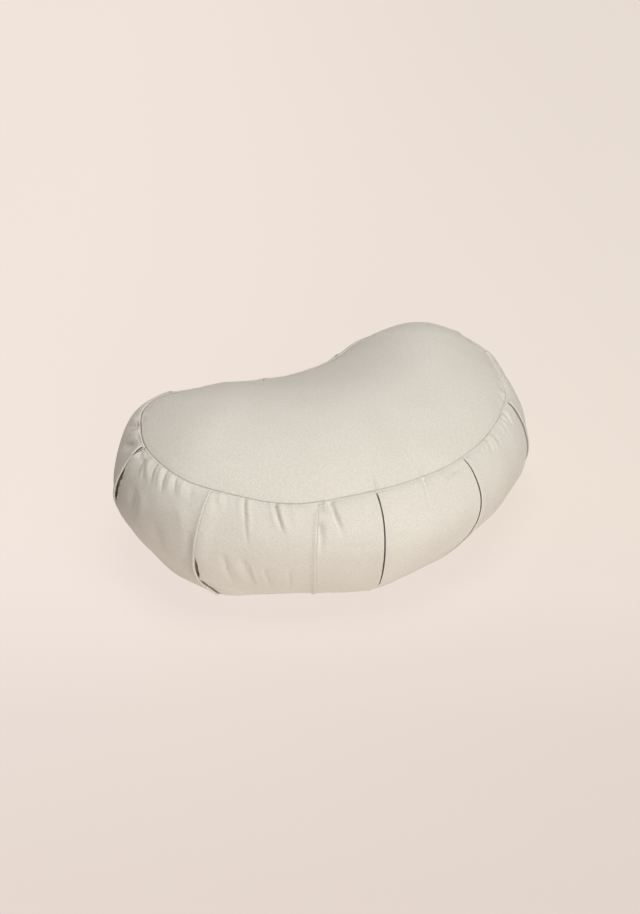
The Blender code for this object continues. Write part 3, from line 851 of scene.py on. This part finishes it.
def cover_mesh(surface, turned, inwards):
    """Points and faces of a cover with its turned edge; inwards is the way to its other side."""
    along, spine_index = panel_columns()
    spine = plan(along)[2]
    columns = len(along)
    level = np.ones(columns)
    edge = surface(along, level)
    reach = np.linalg.norm(edge[:, :2] - spine, axis=1)
    turned = turned * (1 + wandering(along, EDGE_TURNS))
    steps = max(2, round((float(reach.mean()) - PANEL_EDGE_AT[-1]) / PANEL_STEP))
    rings = [surface(along, part * (1 - INNER_ROOM / reach)) for part in INNER_RINGS[::-1]]
    rings = [ring + (0, 0, inwards * CLOTH) for ring in rings]
    low = surface(along, 1 - INNER_EDGE / reach)
    under = PANEL_EDGE_DROP[0] * np.sign(turned) - INNER_DEPTH * inwards * CLOTH
    rings.append(low - np.outer(under, (0, 0, 1)))
    for at, drop in zip(PANEL_EDGE_AT, PANEL_EDGE_DROP):
        rings.append(surface(along, 1 - at / reach) - np.outer(drop * turned, (0, 0, 1)))
    for part in np.arange(1, steps) / steps:
        rings.append(surface(along, (1 - PANEL_EDGE_AT[-1] / reach) * (1 - part)))
    half = SPINE_STEPS // 2
    left_half = np.linspace(ARC_ENDS[3], ARC_ENDS[4], half + 1)[:-1]
    front = np.concatenate((left_half, np.linspace(0, ARC_LENGTHS[0], half + 1)))
    middle = surface(front, np.full(len(front), ON_SPINE))
    points = np.concatenate(rings)
    faces = clean_faces(grid_faces(columns, len(rings)))
    last = len(points)
    faces += closing_faces(last - columns, columns, last, spine_index)
    inner = closing_faces(0, columns, last + len(middle), spine_index)
    faces += [face[::-1] for face in inner]
    return np.concatenate((points, middle, middle + (0, 0, inwards * CLOTH))), faces


# ---------------------------------------------------------------- meshes
def add_mesh(name, points, faces, cloth, wrap_at=None):
    """A smooth mesh object with a UV map in metres, which the weave follows."""
    mesh = bpy.data.meshes.new(name)
    mesh.from_pydata(points.tolist(), [], faces)
    mesh.validate()
    layer = mesh.uv_layers.new(name="cloth")
    corners = np.empty(len(mesh.loops), np.int32)
    mesh.loops.foreach_get("vertex_index", corners)
    uv = cloth[corners].copy()
    if wrap_at:
        starts = np.empty(len(mesh.polygons), np.int32)
        totals = np.empty(len(mesh.polygons), np.int32)
        mesh.polygons.foreach_get("loop_start", starts)
        mesh.polygons.foreach_get("loop_total", totals)
        owner = np.repeat(np.arange(len(starts)), totals)
        largest = np.maximum.reduceat(uv[:, 0], starts)
        uv[:, 0] += wrap_at * (uv[:, 0] < largest[owner] - wrap_at / 2)
    layer.data.foreach_set("uv", uv.ravel())
    mesh.shade_smooth()
    piece = bpy.data.objects.new(name, mesh)
    bpy.context.scene.collection.objects.link(piece)
    return piece


# ---------------------------------------------------------------- materials
def node(tree, kind, links=(), **settings):
    """A new shader node; links are pairs of its input and what feeds it, a socket or a value."""
    made = tree.nodes.new(kind)
    for key, value in settings.items():
        setattr(made, key, value)
    for name, source in links:
        if isinstance(source, bpy.types.NodeSocket):
            tree.links.new(source, made.inputs[name])
        else:
            made.inputs[name].default_value = source
    return made


def ramp(tree, source, stops):
    made = node(tree, "ShaderNodeValToRGB", ((0, source),))
    elements = made.color_ramp.elements
    while len(elements) < len(stops):
        elements.new(0.5)
    for element, (place, colour) in zip(elements, stops):
        element.position = place
        element.color = (*colour, 1.0)
    return made.outputs[0]


def thread_noise(tree, cloth, along, across, detail=2.0):
    """Noise drawn out along one thread direction; the numbers are cycles per metre."""
    scaled = node(tree, "ShaderNodeMapping", ((0, cloth), (3, (along, across, 1.0))))
    made = node(tree, "ShaderNodeTexNoise", ((0, scaled.outputs[0]), ("Scale", 1.0)))
    made.inputs["Detail"].default_value = detail
    return made.outputs["Fac"]


def even_noise(tree, cloth, scale, detail):
    links = ((0, cloth), ("Scale", scale), ("Detail", detail))
    return node(tree, "ShaderNodeTexNoise", links).outputs[0]


def maths(tree, operation, first, second=0.0, third=0.0):
    links = [(0, first), (1, second)]
    if operation == "MULTIPLY_ADD":
        links.append((2, third))
    return node(tree, "ShaderNodeMath", links, operation=operation).outputs[0]


def mixed(tree, factor, first, second, blend_type="MIX"):
    made = node(tree, "ShaderNodeMix", data_type="RGBA", blend_type=blend_type)
    for index, source in ((0, factor), (6, first), (7, second)):
        if isinstance(source, bpy.types.NodeSocket):
            tree.links.new(source, made.inputs[index])
        else:
            made.inputs[index].default_value = source if index == 0 else (*source, 1.0)
    return made.outputs[2]


def canvas(name, light, deep, pitch):
    """Plain-woven cotton: pitch is the distance between threads in metres."""
    material = bpy.data.materials.new(name)
    material.use_nodes = True
    tree = material.node_tree
    shader = tree.nodes["Principled BSDF"]
    cloth = node(tree, "ShaderNodeUVMap", uv_map="cloth").outputs[0]
    parts = node(tree, "ShaderNodeSeparateXYZ", ((0, cloth),))
    turn = math.pi / pitch
    u = maths(tree, "SINE", maths(tree, "MULTIPLY", parts.outputs[0], turn))
    v = maths(tree, "SINE", maths(tree, "MULTIPLY", parts.outputs[1], turn))
    over = maths(tree, "MULTIPLY", u, v)
    weave = maths(tree, "MULTIPLY_ADD", over, 0.5, 0.5)

    warp = thread_noise(tree, cloth, 1000.0, 240.0)
    weft = thread_noise(tree, cloth, 240.0, 1000.0)
    slubs = maths(tree, "MULTIPLY_ADD", warp, 0.5, maths(tree, "MULTIPLY", weft, 0.5))
    grain = even_noise(tree, cloth, 640.0, 1.0)
    mottle = even_noise(tree, cloth, 16.0, 4.0)

    threads = ramp(tree, slubs, ((0.38, deep), (0.62, light)))
    speckled = mixed(tree, 0.5, threads, ramp(tree, grain, ((0.36, deep), (0.64, light))))
    aged = ramp(tree, mottle, ((0.30, (0.955, 0.95, 0.94)), (0.70, (1.0, 1.0, 1.0))))
    colour = mixed(tree, 1.0, speckled, aged, "MULTIPLY")
    tree.links.new(colour, shader.inputs["Base Color"])

    height = maths(tree, "MULTIPLY_ADD", slubs, 0.8, maths(tree, "MULTIPLY", weave, 0.5))
    height = maths(tree, "MULTIPLY_ADD", grain, 0.5, height)
    relief = (("Height", height), ("Strength", 0.55), ("Distance", 0.0004))
    bump = node(tree, "ShaderNodeBump", relief)
    tree.links.new(bump.outputs[0], shader.inputs["Normal"])
    rough = maths(tree, "MULTIPLY_ADD", slubs, -0.10, 0.97)
    tree.links.new(rough, shader.inputs["Roughness"])
    shader.inputs["Specular IOR Level"].default_value = 0.25
    shader.inputs["Sheen Weight"].default_value = 0.10
    shader.inputs["Sheen Roughness"].default_value = 0.55
    return material


CANVAS_LIGHT = (0.737, 0.699, 0.627)
CANVAS_DEEP = (0.636, 0.600, 0.532)
THREAD_PITCH = 0.62 * MM
band_canvas = canvas("canvas_band", CANVAS_LIGHT, CANVAS_DEEP, THREAD_PITCH)
panel_canvas = canvas("canvas_panels", CANVAS_LIGHT, CANVAS_DEEP, THREAD_PITCH)

# ---------------------------------------------------------------- the cushion
points, faces, cloth, round_cloth = body_mesh()
body = add_mesh("pleated_body", points, faces, cloth, round_cloth)
body.data.materials.append(band_canvas)


def top_cover_surface(along, ring):
    shaped = top_surface(along, ring, panel_inset(along))
    rise = crease_field(shaped[..., 0], shaped[..., 1], TOP_CREASES, 1.0, False)
    calm = smooth((1 - ring) / CALM_SHARE)
    rise += TOP_LUMPS * lumps(shaped) * calm + edge_gathers(along, ring)
    return shaped + np.stack((0 * rise, 0 * rise, rise), -1)


def bottom_cover_surface(along, ring):
    return bottom_surface(along, ring, bottom_inset(along) + PANEL_INSET)


points, faces = cover_mesh(top_cover_surface, 1.0, -1.0)
top = add_mesh("top_cover", points, faces, points[:, :2])
points, faces = cover_mesh(bottom_cover_surface, 0.0, 1.0)
bottom = add_mesh("bottom_cover", points, [face[::-1] for face in faces], points[:, :2])
for cover in (top, bottom):
    cover.data.materials.append(panel_canvas)

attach(body, "root")
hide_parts("side_band")
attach(top, "root")
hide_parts("top_panel")
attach(bottom, "root")
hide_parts("bottom_panel")

# ---------------------------------------------------------------- floor, light and camera
FLOOR_REACH = 7.0
VIEW_X, VIEW_Y = 0.6239, 0.7815  # the camera's direction over the ground
# Painted shade on the glowing floor: its glow is darker towards the camera.
NEAR_PAINTED_SHADE = (
    (0.15, (0.870, 0.850, 0.848)),
    (0.34, (0.898, 0.892, 0.898)),
    (0.52, (0.985, 0.985, 1.0)),
    (0.62, (1.0, 1.0, 1.0)),
)
floor_mesh = bpy.data.meshes.new("floor")
corners = [(x * FLOOR_REACH, y * FLOOR_REACH, 0.0) for x, y in ((-1, -1), (1, -1), (1, 1), (-1, 1))]
floor_mesh.from_pydata(corners, [], [(0, 1, 2, 3)])
floor = bpy.data.objects.new("floor", floor_mesh)
bpy.context.scene.collection.objects.link(floor)

# The floor glows instead of being lit. This is painted light, which also shines on the cushion from
# below. Its colour is its own pale tone, with painted shade darker towards the right and towards
# the camera.
paper = bpy.data.materials.new("floor_paper")
paper.use_nodes = True
tree = paper.node_tree
tree.nodes.remove(tree.nodes["Principled BSDF"])
place = node(tree, "ShaderNodeNewGeometry").outputs["Position"]
parts = node(tree, "ShaderNodeSeparateXYZ", ((0, place),))
across = maths(tree, "MULTIPLY", parts.outputs[0], VIEW_Y)
across = maths(tree, "MULTIPLY_ADD", parts.outputs[1], -VIEW_X, across)
deep = maths(tree, "MULTIPLY", parts.outputs[0], VIEW_X)
deep = maths(tree, "MULTIPLY_ADD", parts.outputs[1], VIEW_Y, deep)
across = maths(tree, "MULTIPLY_ADD", across, 1.2, 0.5)
deep = maths(tree, "MULTIPLY_ADD", deep, 0.9, 0.62)
# The floor's own pale tone, with painted shade darker towards the right.
tone_and_painted_shade_across = ramp(tree, across, ((0.12, (0.862, 0.765, 0.706)), (0.88, (0.797, 0.710, 0.641))))
near = ramp(tree, deep, NEAR_PAINTED_SHADE)
colour = mixed(tree, 1.0, tone_and_painted_shade_across, near, "MULTIPLY")
# Painted light: the floor glows though it is no lamp.
glow = node(tree, "ShaderNodeEmission", (("Color", colour), ("Strength", 0.90)))
# Painted shade: the floor's diffuse colour darkens with distance from the cushion, so the lamps'
# light on the far floor fades out. Near the cushion it keeps a faint real shadow.
far = node(tree, "ShaderNodeVectorMath", ((0, place),), operation="LENGTH").outputs["Value"]
far = maths(tree, "MULTIPLY", far, 0.25)
diffuse_painted_shade_far = ramp(tree, far, ((0.43, (0.13, 0.115, 0.10)), (0.62, (0.015, 0.013, 0.012))))
matt = node(tree, "ShaderNodeBsdfDiffuse", (("Color", diffuse_painted_shade_far),))
both = node(tree, "ShaderNodeAddShader", ((0, glow.outputs[0]), (1, matt.outputs[0])))
tree.links.new(both.outputs[0], tree.nodes["Material Output"].inputs["Surface"])
floor_mesh.materials.append(paper)

world = bpy.data.worlds.new("studio")
world.use_nodes = True
tree = world.node_tree
back = tree.nodes["Background"]
seen = node(tree, "ShaderNodeBackground", (("Color", (0.84, 0.75, 0.68, 1.0)), ("Strength", 1.0)))
back.inputs["Color"].default_value = (0.55, 0.52, 0.48, 1.0)
back.inputs["Strength"].default_value = 0.01
path = node(tree, "ShaderNodeLightPath")
choices = ((0, path.outputs["Is Camera Ray"]), (1, back.outputs[0]), (2, seen.outputs[0]))
pick = node(tree, "ShaderNodeMixShader", choices)
tree.links.new(pick.outputs[0], tree.nodes["World Output"].inputs["Surface"])
bpy.context.scene.world = world

LIT_POINT = Vector((0.0, 0.0, 0.08))
LIGHT_DISTANCE = 3.0
LIGHT_COLOUR = (1.0, 0.995, 0.985)
LIGHTS = (  # name, azimuth and elevation (degrees), size (m), power (W)
    ("front", -115, 15, 1.2, 41.5),
    ("front_right", -75, 15, 1.2, 6.5),
    ("front_high", -100, 40, 1.6, 15),
    ("above_front", -60, 60, 1.6, 12),
    ("overhead", -45, 86, 1.8, 47),
    ("back", 82, 36, 1.6, 20),
)
for name, azimuth, elevation, size, power in LIGHTS:
    lamp = bpy.data.lights.new(name, "AREA")
    lamp.energy = power
    lamp.size = size
    lamp.color = LIGHT_COLOUR
    holder = bpy.data.objects.new(name, lamp)
    turn, rise = math.radians(azimuth), math.radians(elevation)
    level = math.cos(rise)
    direction = Vector((math.cos(turn) * level, math.sin(turn) * level, math.sin(rise)))
    holder.location = LIT_POINT + direction * LIGHT_DISTANCE
    holder.rotation_euler = direction.to_track_quat("Z", "Y").to_euler()
    bpy.context.scene.collection.objects.link(holder)

lens = bpy.data.cameras.new("camera")
lens.lens = 89.73
lens.sensor_width = 36.0
camera = bpy.data.objects.new("camera", lens)
camera.location = (-1.1953, -1.4585, 1.2714)
looking = Vector((0.52763, 0.66096, -0.53361))
camera.rotation_euler = looking.to_track_quat("-Z", "Y").to_euler()
bpy.context.scene.collection.objects.link(camera)
bpy.context.scene.camera = camera
bpy.context.scene.view_settings.view_transform = "Standard"
